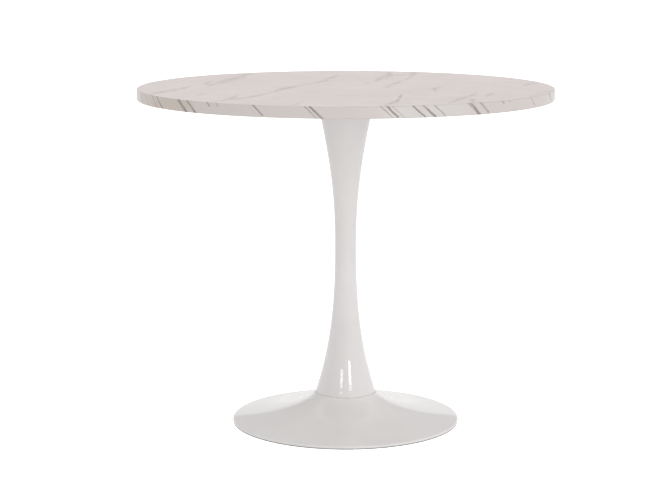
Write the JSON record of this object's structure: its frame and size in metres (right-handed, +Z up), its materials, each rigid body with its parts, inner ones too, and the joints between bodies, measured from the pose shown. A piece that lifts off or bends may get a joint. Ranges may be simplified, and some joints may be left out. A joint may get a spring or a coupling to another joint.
{
  "type": "round pedestal table",
  "caption": "Round pedestal table: marble-pattern laminate top on a waisted white steel trumpet column and a flared round steel base.",
  "frame": {"origin": "on the floor, under the middle of the base", "axes": "+Z up along the column's axis; the table is round, so +X and +Y are free: +X runs through a mounting screw"},
  "size_m": [0.9, 0.9, 0.74],
  "materials": {
    "marble_top": "satin marble-pattern laminate",
    "marble_edge": "satin marble-pattern edge band",
    "backer_sheet": "plain matt balancing sheet",
    "fibreboard": "raw medium density fibreboard",
    "white_enamel": "gloss white powder coat",
    "black_enamel": "fine satin black powder coat",
    "zinc_steel": "zinc plated",
    "insert_brass": "turned, uncoated",
    "floor_gasket": "matt grey soft plastic",
    "neck_seal": "matt pale grey"
  },
  "bodies": {
    "root": {"top_core": "fibreboard", "top_laminate": "marble_top", "backing_laminate": "backer_sheet", "edge_band": "marble_edge", "threaded_inserts": "insert_brass", "mounting_plate": "black_enamel", "plate_washers": "zinc_steel", "plate_screws": "zinc_steel", "threaded_hub": "zinc_steel", "column": "white_enamel", "column_top_disc": "white_enamel", "column_foot_disc": "white_enamel", "tie_rod": "zinc_steel", "neck_gasket": "neck_seal", "base_shell": "white_enamel", "base_rim_gasket": "floor_gasket", "base_clamp_disc": "zinc_steel", "clamp_washer": "zinc_steel", "lock_washer": "zinc_steel", "tie_rod_nut": "zinc_steel"}
  },
  "joints": []
}
